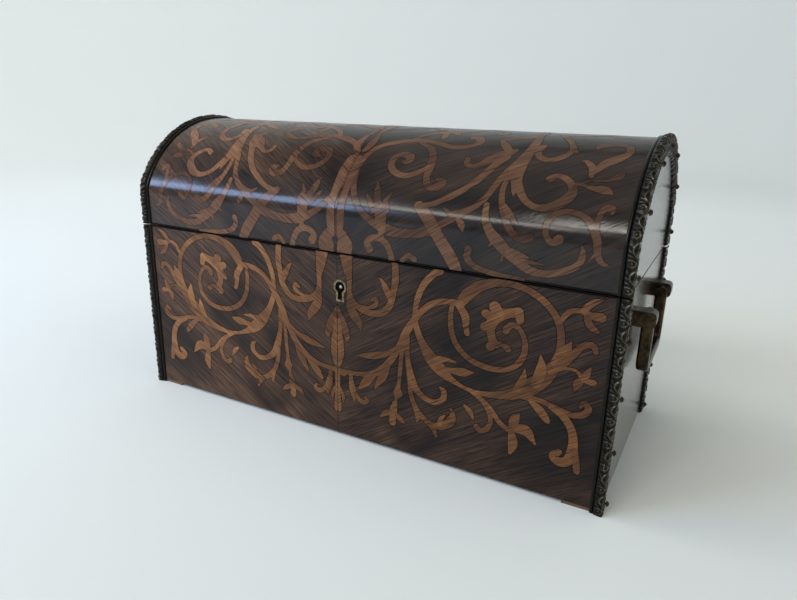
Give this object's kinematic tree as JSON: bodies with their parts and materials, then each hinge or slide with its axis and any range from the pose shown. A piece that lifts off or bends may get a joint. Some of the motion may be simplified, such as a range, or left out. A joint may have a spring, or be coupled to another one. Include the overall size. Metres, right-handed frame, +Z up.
{
  "type": "dome-topped marquetry casket",
  "caption": "Dome-topped wooden casket with marquetry veneer, brass edge mounts, a box lock, a hinged lid and a swinging bail handle on each end.",
  "frame": {"origin": "on the floor, under the middle of the box", "axes": "+X towards the right end seen from the front, -Y towards the front, +Z up"},
  "size_m": [0.319, 0.1348, 0.1777],
  "materials": {
    "rosewood_veneer": "french polish, marquetry",
    "carcass_wood": "plain, stained",
    "foot_wood": "plain",
    "patinated_brass": "cast, dark patina",
    "fitting_brass": "worn polish",
    "lock_steel": "worn"
  },
  "bodies": {
    "case": {"case_back_board": "carcass_wood", "case_back_veneer": "rosewood_veneer", "case_bottom_board": "carcass_wood", "case_front_board": "carcass_wood", "case_front_veneer": "rosewood_veneer", "case_left_board": "carcass_wood", "case_left_veneer": "rosewood_veneer", "case_mount_back_left": "patinated_brass", "case_mount_back_right": "patinated_brass", "case_mount_front_left": "patinated_brass", "case_mount_front_right": "patinated_brass", "case_mount_pins": "patinated_brass", "case_right_board": "carcass_wood", "case_right_veneer": "rosewood_veneer", "corner_feet": "foot_wood", "hinge_case_screws": "lock_steel", "keyhole_escutcheon": "fitting_brass", "left_handle_nuts": "fitting_brass", "left_handle_posts": "fitting_brass", "left_hinge_case_leaf": "fitting_brass", "left_hinge_pin": "fitting_brass", "lock_key_pin": "lock_steel", "lock_plate": "fitting_brass", "lock_screws": "lock_steel", "right_handle_nuts": "fitting_brass", "right_handle_posts": "fitting_brass", "right_hinge_case_leaf": "fitting_brass", "right_hinge_pin": "fitting_brass"},
    "lid": {"hinge_lid_screws": "lock_steel", "left_hinge_lid_leaf": "fitting_brass", "lid_back_rail": "carcass_wood", "lid_dome_veneer": "rosewood_veneer", "lid_front_rail": "carcass_wood", "lid_left_end": "carcass_wood", "lid_left_veneer": "rosewood_veneer", "lid_mount_left": "patinated_brass", "lid_mount_pins": "patinated_brass", "lid_mount_right": "patinated_brass", "lid_right_end": "carcass_wood", "lid_right_veneer": "rosewood_veneer", "lid_stave_1": "carcass_wood", "lid_stave_2": "carcass_wood", "lid_stave_3": "carcass_wood", "lid_stave_4": "carcass_wood", "lid_stave_5": "carcass_wood", "lid_stave_6": "carcass_wood", "right_hinge_lid_leaf": "fitting_brass", "strike_plate": "fitting_brass", "strike_screws": "lock_steel", "strike_staples": "fitting_brass"},
    "lock_bolt": {"lock_bolt": "lock_steel"},
    "left_bail": {"left_bail": "fitting_brass"},
    "right_bail": {"right_bail": "fitting_brass"}
  },
  "joints": [
    {"name": "lid_hinge", "type": "hinge", "parent": "case", "child": "lid", "pos_m": [0, 0.0654, 0.1104], "axis": [-1, 0, 0], "range_deg": [0, 100]},
    {"name": "bolt_slide", "type": "slide", "parent": "case", "child": "lock_bolt", "axis": [1, 0, 0], "range_m": [0, 0.005]},
    {"name": "right_bail_pivot", "type": "hinge", "parent": "case", "child": "right_bail", "pos_m": [0.155, 0, 0.092], "axis": [0, -1, 0], "range_deg": [0, 100]},
    {"name": "left_bail_pivot", "type": "hinge", "parent": "case", "child": "left_bail", "pos_m": [-0.155, 0, 0.092], "axis": [0, 1, 0], "range_deg": [0, 100]}
  ]
}
